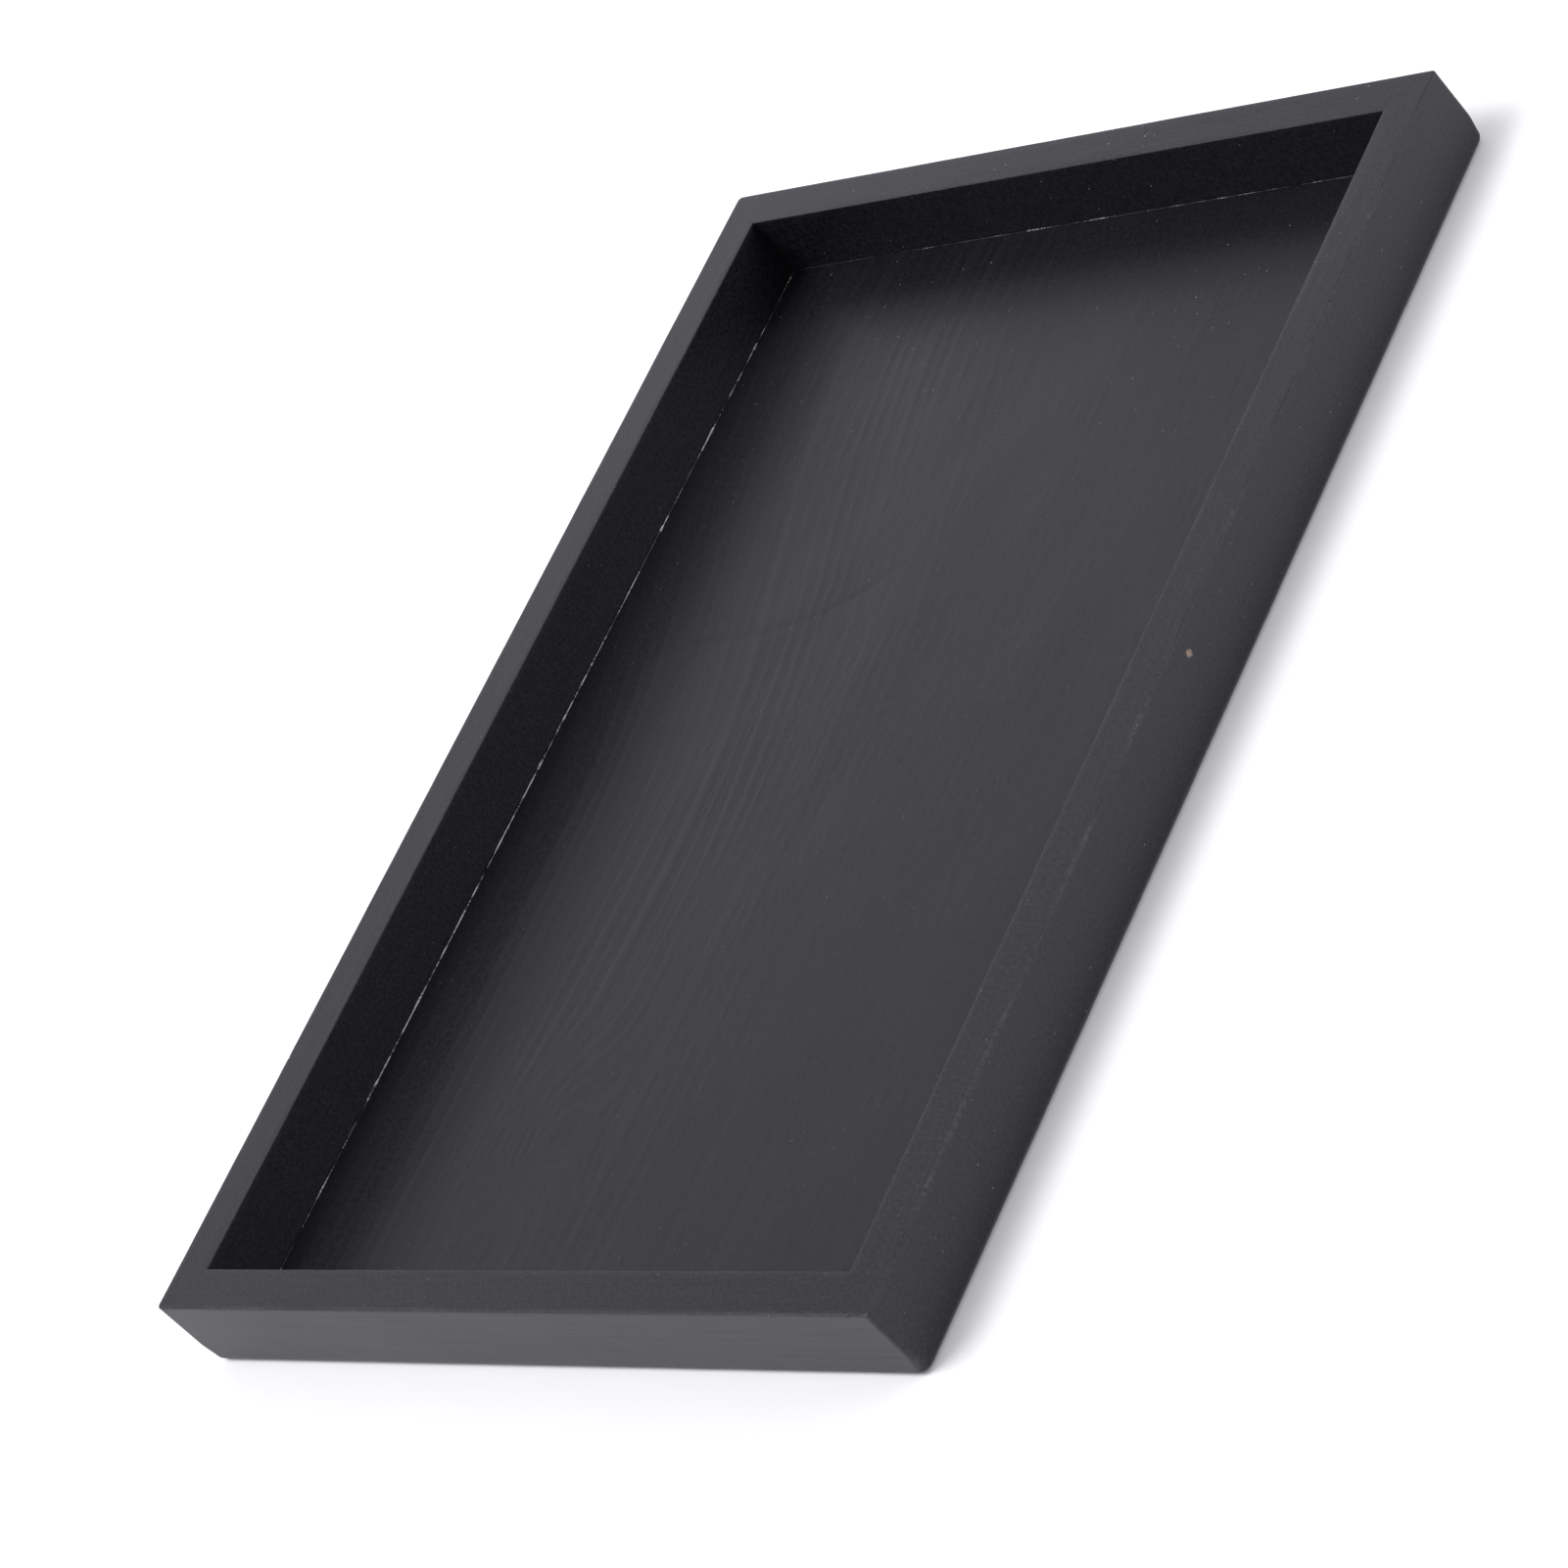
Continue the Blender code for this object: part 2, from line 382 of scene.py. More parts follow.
def carried(name, points, finish, kept=None):
    """A closed piece from points[row, column, xyz]: columns go round, rows go along.

    kept maps an attribute's name to one number for each point, which the finish can read. Where two
    faces meet at more than SHARP_FROM degrees, the edge between them is drawn sharp.
    """
    rows, columns = points.shape[:2]
    index = np.arange(rows * columns).reshape(rows, columns)
    following = np.roll(index, -1, axis=1)
    quads = np.stack([index[:-1], following[:-1], following[1:], index[1:]], axis=-1).reshape(-1, 4)
    faces = quads.tolist() + [index[0][::-1].tolist(), index[-1].tolist()]
    mesh = bpy.data.meshes.new(name)
    mesh.from_pydata(points.reshape(-1, 3).tolist(), [], faces)
    for label, values in (kept or {}).items():
        attribute = mesh.attributes.new(label, "FLOAT", "POINT")
        attribute.data.foreach_set("value", np.ascontiguousarray(values, np.float32).ravel())
    mesh.shade_smooth()
    mesh.set_sharp_from_angle(angle=math.radians(SHARP_FROM))
    mesh.materials.append(finish.material)
    made = bpy.data.objects.new(name, mesh)
    scene.collection.objects.link(made)
    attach(made, "root")
    print(name, "faces:", len(faces))
    return made


def run(start, end, step):
    """Points from start up to, but not including, end: even, and no more than step apart."""
    start, end = np.array(start, float), np.array(end, float)
    count = max(1, math.ceil(np.linalg.norm(end - start) / step))
    return start + (end - start) * (np.arange(count) / count)[:, None]


def arc(centre, radius, start, turn, count):
    """Points round an arc, but not its end: centre plus radius times (cosine, sine) of the angle."""
    angle = np.radians(start + turn * np.arange(count) / count)
    return np.array(centre) + radius * np.stack([np.cos(angle), np.sin(angle)], axis=1)


def outward(outline):
    """The unit normal at each point of a closed outline that goes round anticlockwise.

    It is the step from the point before to the point after, turned a quarter turn clockwise.
    """
    step = np.roll(outline, -1, axis=0) - np.roll(outline, 1, axis=0)
    turned = np.stack([step[:, 1], -step[:, 0]], axis=1)
    return turned / np.linalg.norm(turned, axis=1)[:, None]


# %% [markdown]
# ## The rail's outline
#
# Across its length a rail is a tall rectangle with a step cut out of its inner back edge, the
# rebate, where the board sits. The rim's edges are eased with fine paper, and the outer back edge is
# sanded round. An outline of straight runs and arcs says this directly, and the runs are divided
# finely enough to carry the unevenness of the faces.

# %% Draw the outline once for all four rails
FACE_STEP = 0.42 * MM  # on the faces that are seen
HIDDEN_STEP = 2 * FACE_STEP  # inside the rebate
LIP_STEP = FACE_STEP / 2  # on the back lip, which carries the slots of the V-nails
ARRIS = 0.15 * MM  # radius of the edges round the rebate
EASE_STEPS = 7
BACK_STEPS = 10
ARRIS_STEPS = 3


def rail_outline():
    """The outline anticlockwise, as (depth in from the outer face, height) in metres."""
    return np.concatenate([
        arc((BACK_ROUND, BACK_ROUND), BACK_ROUND, 180, 90, BACK_STEPS),
        run((BACK_ROUND, 0), (lip_width - ARRIS, 0), LIP_STEP),
        arc((lip_width - ARRIS, ARRIS), ARRIS, -90, 90, ARRIS_STEPS),
        run((lip_width, ARRIS), (lip_width, foot), HIDDEN_STEP),
        run((lip_width, foot), (rail_width - ARRIS, foot), HIDDEN_STEP),
        arc((rail_width - ARRIS, foot + ARRIS), ARRIS, -90, 90, ARRIS_STEPS),
        run((rail_width, foot + ARRIS), (rail_width, rim - INNER_EASE), FACE_STEP),
        arc((rail_width - INNER_EASE, rim - INNER_EASE), INNER_EASE, 0, 90, EASE_STEPS),
        run((rail_width - INNER_EASE, rim), (RIM_EASE, rim), FACE_STEP),
        arc((RIM_EASE, rim - RIM_EASE), RIM_EASE, 90, 90, EASE_STEPS),
        run((0, rim - RIM_EASE), (0, BACK_ROUND), FACE_STEP),
    ])


outline = rail_outline()
print("points round a rail:", len(outline))

# %% [markdown]
# ## Paint
#
# The paint is sprayed: nearly black, satin, and a touch cool. Its surface is never quite smooth,
# because the grain of the wood stands up through it in lines along each rail, and the spray leaves
# a fine orange peel. On the edges the paint is rubbed thin and looks greyer, and here and there a
# speck of dust is caught in it. The finish reads four numbers kept on the mesh: rubbed, which is 1
# where an edge is worn, a scuff number, which is 1 where sanding lines were sprayed over too thinly
# and still show, and which also greys the outer walls as painted light, most on the front one and
# not at all on the right one, bare, which is 1 where the paint is gone, and dusty, which is 1 where
# dust lies thick.

# %% Scatter dust in the paint
DUST_GREY = (0.42, 0.42, 0.43, 1)
DRIFTS = 60.0


def dust(finish, cell, radius):
    """Scattered specks, up to 1: where the surface passes within radius of a random point in each cell.

    A slow noise makes some of them faint, because dust settles in drifts, and the mesh's own number
    dusty says how much of it lies there.
    """
    inputs = {"Vector": finish.place, "Scale": 1 / cell, "Randomness": 1.0}
    settings = {"voronoi_dimensions": "3D", "feature": "F1"}
    distance = finish.node("ShaderNodeTexVoronoi", settings, inputs, output="Distance")
    drifts = finish.ramp(finish.noise(DRIFTS), 0.38, 0.66)
    specks = 1 - finish.ramp(distance, 0.5 * radius / cell, radius / cell)
    return specks * (drifts * 0.8 + 0.2) * finish.read("dusty")


# %% Mix the paint for wood whose grain runs one way
PAINT_IOR = 1.41
PAINT_BLACK = (0.0075, 0.0076, 0.0100, 1)
PAINT_DEEP = (0.0036, 0.0038, 0.0056, 1)
PAINT_DUSTY = (0.0125, 0.0128, 0.0165, 1)
PAINT_WORN = (0.055, 0.054, 0.060, 1)
# The scuffed grey below is both sanding lines and painted light on the outer walls.
PAINT_SCUFFED_AND_LIT = (0.060, 0.060, 0.064, 1)
BARE_WOOD = (0.21, 0.150, 0.112, 1)
PAINT_BUMP = 0.026 * MM


def with_grain(axis, across, along):
    """Noise cells to the metre for X, Y and Z: many across the grain, few along it."""
    return tuple(along if number == axis else across for number in range(3))


def sprayed(name, grain_axis):
    """Black satin paint on a rail. grain_axis is 0 where the rail runs along X, and 1 along Y."""
    finish = Finish(name, {"IOR": PAINT_IOR})
    fibres = finish.noise(with_grain(grain_axis, 2600.0, 45.0), detail=3.0, roughness=0.6)
    bands = finish.noise(with_grain(grain_axis, 700.0, 9.0))
    peel = finish.noise(1500.0, detail=1.0)
    patches = finish.noise(28.0, detail=3.0)
    rubbed = finish.read("rubbed")
    broken = finish.ramp(finish.noise(900.0, detail=3.0) + patches * 0.5, 0.62, 0.95)
    worn = rubbed * (broken * 0.8 + 0.2)
    streaks = finish.ramp(fibres * 0.7 + bands * 0.5, 0.42, 0.78)
    # Scuffs: sanding streaks, and also painted light that greys the outer walls where more light falls.
    scuffs_and_light = finish.read("scuffed_and_lit") * (streaks * 0.55 + 0.22)
    specks = dust(finish, cell=2.9 * MM, radius=0.17 * MM)
    grit = finish.noise(1250.0, detail=3.0, roughness=0.7)
    colour = finish.mixed(finish.ramp(grit, 0.38, 0.68), PAINT_DEEP, PAINT_DUSTY)
    colour = finish.mixed(scuffs_and_light, colour, PAINT_SCUFFED_AND_LIT)
    colour = finish.mixed(worn, colour, PAINT_WORN)
    colour = finish.mixed(specks, colour, DUST_GREY)
    colour = finish.mixed(finish.read("bare"), colour, BARE_WOOD)
    finish.feed(finish.shader, {
        "Base Color": colour,
        "Roughness": 0.29 + patches * 0.08 + grit * 0.10 + rubbed * 0.25,
        "Normal": finish.bump(fibres * 0.7 + bands * 0.6 + peel * 0.45, PAINT_BUMP),
    })
    print(name, "nodes:", len(finish.tree.nodes))
    return finish


paint_across = sprayed("black_paint_grain_across", 0)
paint_along = sprayed("black_paint_grain_along", 1)

# %% [markdown]
# ## The rails
#
# A rail is its outline carried along a straight line, and the line is shorter for points deeper in
# from the outer face: that is the mitre. At each upright corner the outer face turns in on an arc,
# and the mitre cuts the arc in half. One rail is worked out along X and then turned about the
# middle of the box, as a maker cuts four from one moulding. Small faults are put in as dents: each
# pushes the nearby surface in by a bell curve of its distance.

# %% Where the V-nails lie under the back lip
nail_low, nail_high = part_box("v_nail_top_right_outer")
nail_end = nail_low.z
NAIL_STRIP = 0.5 * MM
NAIL_SLOT = 0.33 * MM
nail_line = half_width - (nail_high.x - NAIL_STRIP / 2)
nail_leg = nail_high.x - NAIL_STRIP / 2 - nail_low.x
print("V-nails lie", round(nail_line / MM, 2), "mm in, with legs of", round(nail_leg / MM, 2), "mm")


# %% Where to put the steps along a rail
RAIL_STEP = 0.85 * MM
TIGHT_STEP = 0.16 * MM
NAIL_REACH = 1.2 * MM
END_REACH = 3 * MM
END_STEPS = 20
SPOT_STEPS = 8


def steps_along(length, spots):
    """Places from -1 at one end to 1 at the other: even, but gathered at the ends, nails and spots.

    Towards an end the steps shrink: each stands off it by END_REACH times 1 less a cosine.
    """
    nails = np.arange(nail_line + nail_leg - NAIL_REACH, nail_line + nail_leg + NAIL_REACH, TIGHT_STEP)
    even = np.linspace(-length / 2, length / 2, math.ceil(length / RAIL_STEP) + 1)
    to_end = length / 2 - END_REACH * (1 - np.cos(np.linspace(0, np.pi / 2, END_STEPS)))
    gathered = [even, -to_end, to_end, length / 2 - nails, nails - length / 2]
    for spot in spots:
        gathered.append(spot + np.arange(-SPOT_STEPS, SPOT_STEPS + 1) * TIGHT_STEP)
    places = np.unique(np.round(np.concatenate(gathered), 6))
    return places[np.abs(places) <= length / 2] / (length / 2)


# %% Lay out a rail's points, with its mitres and rounded corners
class RailGrid:
    """A rail's points before wear: one row for each step along it, one column round its outline.

    depth and height are the outline's. along is a point's place along the rail, and end is how far
    its column reaches. turned_in is how far the rounded corner moves it in, and girth is how far
    round the outline it lies.
    """

    def __init__(self, length, spots):
        """The upright corner is an arc: full on the outer skin, and gone a few millimetres further in.

        Where the mitre meets the arc, halfway round, the arc has come in by 1 less the sine of 45
        degrees of its radius. Past its start it turns a point in by the radius less the root of
        radius squared less distance squared.
        """
        self.length = length
        self.depth, self.height = depth, height = outline.T
        skin = np.where(height > rim / 2, RIM_EASE, BACK_ROUND)
        rounder = (CORNER_FOOT_ROUND - CORNER_ROUND) * step_up(-height, -7 * MM, -1 * MM)
        widest = CORNER_ROUND + rounder
        corner = widest * np.clip(1 - (depth - skin) / (1.3 * widest), 0, 1)
        corner = np.where(depth <= skin, widest, corner)
        mitre = length / 2 - MITRE_LINE - depth
        self.end = mitre - corner * (1 - math.sin(math.pi / 4))
        self.along = steps_along(length, spots)[:, None] * self.end
        past = np.clip(np.abs(self.along) - (mitre - corner), 0, None)
        self.turned_in = corner - np.sqrt(np.clip(corner ** 2 - past ** 2, 0, None))
        steps = np.diff(outline, axis=0, prepend=outline[:1])
        girth = np.cumsum(np.linalg.norm(steps, axis=1))
        self.girth = np.broadcast_to(girth, self.along.shape)

    def waves(self, cell_round, cell_along, seed):
        """Uneven numbers from -1 to 1 over the rail's skin. The cells are in millimetres."""
        return uneven(self.girth, self.along, cell_round * MM, cell_along * MM, seed)


# %% The relief that planing, sanding and dents leave
PLANER_WAVE = 0.020 * MM
SANDING_WAVE = 0.008 * MM
EDGE_LOSS = 0.045 * MM
EDGE_REACH = 1.1 * MM
BACK_EDGE = 0.6 * MM
BACK_EDGE_REACH = 2.2 * MM
CORNER_REACH = 1.2 * MM


def planed(grid, seed):
    """Long waves from the planer and shorter ones from sanding by hand, fading out at the mitres."""
    relief = PLANER_WAVE * grid.waves(7, 55, seed) + SANDING_WAVE * grid.waves(1.6, 12, seed + 1)
    return relief * step_up(grid.end - np.abs(grid.along), 0, 4 * MM)


def edges(grid):
    """How close each point is to an edge, and how close to an upright corner, both from 0 to 1.

    Each is 1 less a distance over its reach. The distances are to the rim's two edges, to the back
    edge, which counts for less, and to the mitre.
    """
    eased = RIM_EASE * 0.3
    outer = np.hypot(grid.depth - eased, grid.height - rim + eased)
    inner = np.hypot(grid.depth - rail_width + eased, grid.height - rim + eased)
    on_rim_edge = 1 - np.minimum(outer, inner) / EDGE_REACH
    on_back_edge = 1 - np.hypot(grid.depth - BACK_EDGE, grid.height - BACK_EDGE) / BACK_EDGE_REACH
    edge = np.clip(np.maximum(on_rim_edge, on_back_edge * 0.7), 0, 1) * np.ones_like(grid.along)
    to_mitre = grid.end - np.abs(grid.along)
    at_corner = np.clip(1 - to_mitre / CORNER_REACH, 0, 1) * (grid.depth < 0.3 * MM)
    return np.maximum(edge, at_corner), at_corner


def dent_bell(grid, place, depth, height, radius, seed):
    """1 in the middle of a dent: a bell of the distance from it, with a ragged reach."""
    inward = grid.depth + grid.turned_in - depth
    away = np.sqrt((grid.along - place) ** 2 + inward ** 2 + (grid.height - height) ** 2)
    return bell(away, radius * (1 + 0.35 * grid.waves(0.5, 0.4, seed)))


def slotted(grid, relief):
    """The relief with the back lip pressed flat, and with a slot in it over each V-nail.

    The lip is crushed down to the depth that the nail was punched to. A slot is one step across the
    strip times one along its leg, and beside it the lip stays up by a bell of the distance.
    """
    on_lip = grid.height < 0.1 * MM
    from_nail = np.abs(grid.depth + grid.turned_in - nail_line)
    past_leg = grid.length / 2 - nail_line - np.abs(grid.along) - nail_leg
    slot_wall = step_up(-from_nail, -NAIL_SLOT - 0.25 * MM, -NAIL_SLOT)
    slot = slot_wall * step_up(-past_leg, -0.5 * MM, 0) * on_lip
    lifted = bell(from_nail - NAIL_SLOT - 0.35 * MM, 0.25 * MM) * (past_leg < 0)
    relief = np.where(on_lip, np.minimum(relief, 0) - 0.04 * MM * (1 - lifted), relief)
    return relief - (nail_end + 0.05 * MM) * slot


# %% Where the paint is rubbed thin
def rubbed_thin(grid, edge, at_corner, rubs, seed):
    """How worn the paint is: unevenly along every edge, least inside, and most on each rub.

    A rub is (along, half length): a flat-topped bell along the rail, on the rim's outer edge only.
    """
    rubbed = edge * np.clip(0.30 + 0.35 * grid.waves(90, 9, seed), 0, 1)
    rubbed = rubbed * (1 - 0.75 * (grid.depth > rail_width / 2)) + 0.10 * at_corner
    outer_rim = np.clip(1 - np.hypot(grid.depth, grid.height - rim) / (0.55 * MM), 0, 1)
    for place, half in rubs:
        rubbed = rubbed + 0.5 * outer_rim * plateau(grid.along - place * MM, half * MM)
    return rubbed


# %% One rail from its outline
def rail(node, length, span, turn, finish, seed, scuff_and_light, dusty, dents, rubs):
    """The rail that stands for a node. length is its outside length, and span the box's size across it.

    The scuff number says how scuffed the outer face is, and how much painted light greys it, and
    dusty how much dust lies on the rail. dents are (along, depth, height, radius, how deep, how
    bare), and rubs are (along, half length) on the outer edge of the rim. Both are in millimetres,
    along the rail as it is before it is turned. A point's relief moves it along the outline's normal.
    """
    dents = np.array(dents, float) * (MM, MM, MM, MM, MM, 1)
    grid = RailGrid(length, dents[:, 0])
    edge, at_corner = edges(grid)
    relief = planed(grid, seed) - EDGE_LOSS * edge * (0.5 + 0.5 * grid.waves(90, 6, seed + 2))
    rubbed = rubbed_thin(grid, edge, at_corner, rubs, seed + 3)
    bare = np.zeros_like(grid.along)
    for place, depth, height, radius, deep, paintless in dents:
        dent = dent_bell(grid, place, depth, height, radius, seed + 5)
        relief = relief - deep * dent
        bare = np.maximum(bare, paintless * step_up(dent, 0.35, 0.6))
        rubbed = rubbed + 0.8 * paintless * dent
    relief = slotted(grid, relief)

    out_depth, out_height = outward(outline).T
    inward = grid.depth + grid.turned_in + out_depth * relief
    points = np.stack([grid.along, inward - span / 2, grid.height + out_height * relief], axis=-1)
    points = points @ np.array(Matrix.Rotation(-turn, 3, "Z"))
    # Painted light: the outer face is greyed by the scuff number as well as scuffed.
    outer_face = step_up(-grid.depth, -0.6 * MM, -0.05 * MM) * step_up(grid.height, 0.5 * MM, 2 * MM)
    scuffed_and_lit = scuff_and_light * outer_face * (0.8 + 0.2 * grid.waves(30, 40, seed + 4))
    made = carried(node + "_finished", points, finish, {
        "rubbed": np.clip(rubbed, 0, 1), "scuffed_and_lit": scuffed_and_lit, "bare": bare,
        "dusty": np.full_like(bare, dusty),
    })
    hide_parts(node)


# %% Make the four rails
width = 2 * half_width
length = 2 * half_length
quarter = math.pi / 2
# The scuff numbers are partly sanding lines and partly painted light: most on the front wall, where more
# light falls, and none on the darker right wall.
rail(
    "rail_bottom", width, length, 0, paint_across, seed=11, scuff_and_light=0.42, dusty=0.35,
    dents=[(95, 0.1, 20, 0.35, 0.35, 0), (84, 9.4, 19.9, 0.3, 0.2, 0), (-31, 4.6, 20, 0.3, 0.06, 0)],
    rubs=[(99, 0.8), (60, 2), (-70, 3)],
)
rail(
    "rail_right", length, width, quarter, paint_along, seed=23, scuff_and_light=0.0, dusty=0.45,
    dents=[
        (3.6, 0, 15.4, 0.8, 0.30, 1), (-53.5, 0.2, 20, 0.34, 0.45, 0), (-133.4, 0, 11.4, 0.3, 0.10, 0),
        (136.6, 0, 4.9, 0.3, 0.10, 0), (88, 0.1, 20, 0.3, 0.12, 0), (-20, 5.2, 20, 0.3, 0.05, 0),
    ],
    rubs=[(-42, 3.0), (-11.5, 1.0), (-82.5, 3.2), (34, 1.4), (71, 1.0), (112, 2.2), (-121, 1.2)],
)
rail(
    "rail_top", width, length, 2 * quarter, paint_across, seed=37, scuff_and_light=0.3, dusty=1.0,
    dents=[(-24, 3.2, 20, 0.35, 0.07, 0), (52, 7.0, 20, 0.3, 0.06, 0)],
    rubs=[(20, 1.5), (-66, 2.4)],
)
rail(
    "rail_left", length, width, -quarter, paint_along, seed=41, scuff_and_light=0.2, dusty=0.35,
    dents=[(-61, 9.4, 12, 0.3, 0.05, 0), (88, 0.2, 20, 0.3, 0.1, 0)],
    rubs=[(40, 2.0), (-100, 2.4)],
)

# %% [markdown]
# ## The board
#
# The board is three-ply: a veneer on each face of a thicker core. A veneer is peeled or sliced from
# a log, so its face cuts the yearly rings at a slant and shows long lines, and nested pointed arches
# where the trunk swelled, the cathedral figure. Under thin paint the hard part of each ring stands a
# few hundredths of a millimetre proud. A picture of grain wrapped on the board would hold its
# pattern, but not its glints, so here the rings are real relief: a height for each point of a fine
# grid. First comes a count of the rings crossed from one side of the board, and the relief is a
# ridge wherever that count passes a half.

# %% The rings that the knife cut through
RING_WIDTH = 4.1 * MM
LEAN = 21 * MM
SLOW_WANDER = 4 * MM
QUICK_WANDER = 0.8 * MM
SMALL_ARCHES = 17 * MM
LARGE_ARCHES = 31 * MM


def swelling(x, y, middle, reach, start, full, end):
    """A bell across the board that rises from start to full along it, and is gone again at end."""
    across = bell(x + inner_x - middle, reach)
    return across * step_up(y + inner_y, start, full) * step_up(-y - inner_y, -end, -full)


def rings(x, y):
    """How many yearly rings have been crossed between the board's left side and each point.

    Plain distance across the board gives straight lines. They lean where the trunk did, they wander
    slowly, and each swelling of the trunk turns them back on themselves in nested arches.
    """
    lean = LEAN * step_up(-(y + inner_y), -270 * MM, -110 * MM)
    wander = SLOW_WANDER * uneven(x, y, 60 * MM, 110 * MM, 71)
    wander = wander + QUICK_WANDER * uneven(x, y, 12 * MM, 30 * MM, 72)
    small = swelling(x, y, middle=60 * MM, reach=13 * MM, start=18 * MM, full=40 * MM, end=78 * MM)
    large = swelling(x, y, middle=138 * MM, reach=26 * MM, start=46 * MM, full=100 * MM, end=260 * MM)
    arches = SMALL_ARCHES * small + LARGE_ARCHES * large
    return (x + inner_x - lean + wander + arches) / RING_WIDTH


# %% The figure: where a ring stands proud, and where a split runs
CLEAR_MIDDLE = 47 * MM
CLEAR_REACH = 40 * MM
SPLIT_START = (33 * MM, 171 * MM)
SPLIT_LENGTH = 55 * MM
SPLIT_RISE = 20 * MM
SPLIT_WIDTH = 0.95 * MM


def clearness(x):
    """How strongly the figure shows: most in a broad stripe left of the middle, where the knife cut
    the rings squarely, and little elsewhere."""
    return 0.25 + 1.25 * bell(x + inner_x - CLEAR_MIDDLE, CLEAR_REACH)


def figure(x, y):
    """The veneer's pattern from about -1 to 1: hard latewood high, soft wood low.

    Each ring is a narrow ridge, whose place, width and strength differ from ring to ring, with
    fainter lines beside it, which are a sine of about three times the count.
    """
    count = rings(x, y)
    count = count + 0.30 * uneven(count, 0 * y, 1.0, 1.0, 73)
    share = count - np.floor(count)
    ridge = bell(share - 0.5, 0.15 + 0.05 * uneven(count, y, 1.0, 90 * MM, 78)) - 0.25
    lines = np.sin(2 * np.pi * (3.1 * count + 0.9 * uneven(x, y, 14 * MM, 45 * MM, 74)))
    bold = 0.75 + 0.6 * uneven(count, y, 1.3, 60 * MM, 79)
    return clearness(x) * (bold * ridge + 0.38 * lines)


def split(x, y):
    """A hairline split across the grain, 1 on its middle: a cubic curve from left to centre."""
    t = (x + inner_x - SPLIT_START[0]) / SPLIT_LENGTH
    off = y + inner_y - SPLIT_START[1] - SPLIT_RISE * t ** 3
    broken = 0.7 + 0.3 * uneven(x, y, 3 * MM, 3 * MM, 81)
    return broken * bell(off, SPLIT_WIDTH) * step_up(t, -0.15, 0.05) * step_up(-t, -1.05, -0.8)


def pale(x, y):
    """How much pale wood shows through the paint, 0 to 1: most on the ridges, and in bands of rings."""
    bands = clearness(x) * uneven(rings(x, y), y, 1.7, 130 * MM, 82)
    return np.clip(0.32 + 0.38 * figure(x, y) + 0.13 * bands - 1.2 * split(x, y), 0, 1)


# %% The height that the figure gives the face
RIDGE_HEIGHT = 0.020 * MM
SPLIT_DEPTH = 0.045 * MM
SMALL_HOLLOW = 0.05 * MM
LARGE_HOLLOW = 0.09 * MM
ROUGHNESS_HEIGHT = 0.006 * MM


def veneer_relief(x, y):
    """The face's height above flat: the figure, the split, and hollows where the core pulls it in."""
    small = SMALL_HOLLOW * uneven(x, y, 15 * MM, 21 * MM, 76)
    large = LARGE_HOLLOW * uneven(x, y, 36 * MM, 52 * MM, 77)
    rough = ROUGHNESS_HEIGHT * uneven(x, y, 1.9 * MM, 3.1 * MM, 80)
    return RIDGE_HEIGHT * figure(x, y) - SPLIT_DEPTH * split(x, y) + (small + large) + rough


def held_at_walls(x, y):
    """The veneer's height, fading out where the rails hold the board flat."""
    within = np.minimum(inner_x - np.abs(x), inner_y - np.abs(y))
    return veneer_relief(x, y) * step_up(within, -1 * MM, 3 * MM)


# %% Paint on the veneer
BOARD_IOR = 1.45
BOARD_DEEP = (0.0018, 0.0020, 0.0034, 1)
BOARD_DUSTY = (0.0054, 0.0057, 0.0082, 1)
VENEER_PALE = (0.0165, 0.0166, 0.0188, 1)
BOARD_BUMP = 0.025 * MM


def veneered(name):
    """The same black, thinner and glossier: the pores show, and dust lies on it."""
    finish = Finish(name, {"IOR": BOARD_IOR})
    pores = finish.noise((1500.0, 60.0, 1500.0), detail=4.0, roughness=0.65)
    ripple = finish.noise((420.0, 14.0, 420.0))
    peel = finish.noise(1300.0, detail=1.0)
    patches = finish.noise((22.0, 13.0, 22.0), detail=3.0)
    grit = finish.noise((1100.0, 900.0, 1100.0), detail=3.0, roughness=0.7)
    specks = dust(finish, cell=3.1 * MM, radius=0.16 * MM)
    colour = finish.mixed(finish.ramp(grit, 0.38, 0.64), BOARD_DEEP, BOARD_DUSTY)
    colour = finish.mixed(finish.read("pale") * 0.45, colour, VENEER_PALE)
    colour = finish.mixed(specks, colour, DUST_GREY)
    finish.feed(finish.shader, {
        "Base Color": colour,
        "Roughness": 0.23 + patches * 0.08 + grit * 0.10,
        "Normal": finish.bump(pores * 0.7 + ripple * 1.0 + peel * 0.35, BOARD_BUMP),
    })
    print(name, "nodes:", len(finish.tree.nodes))
    return finish


paint_board = veneered("black_paint_board")

# %% Bare wood in the board's core
CORE_DARK = (0.10, 0.075, 0.05, 1)
CORE_LIGHT = (0.22, 0.17, 0.11, 1)
core_wood = Finish("core_wood", {"Roughness": 0.8})
core_grain = core_wood.noise((40.0, 2200.0, 1800.0), detail=3.0)
core_wood.feed(core_wood.shader, {
    "Base Color": core_wood.mixed(core_grain, CORE_DARK, CORE_LIGHT),
    "Normal": core_wood.bump(core_grain, 0.05 * MM),
})

# %% [markdown]
# ## The three plies
#
# A ply is a very flat outline, right round its own edge, carried along the board. Its upper and
# lower runs may have different steps: the face that is looked at gets fine ones, and the hidden one
# coarse ones. The face veneer's upper points are lifted by the veneer's height, which sinks to
# nothing at the walls, where the board is pressed against the rails.

# %% Make the plies
VENEER = 0.5 * MM
PLY_GAP = 0.01 * MM
PLY_ARRIS = 0.06 * MM
BACK_GRAIN = 0.8
board_x = panel_high.x
board_y = panel_high.y


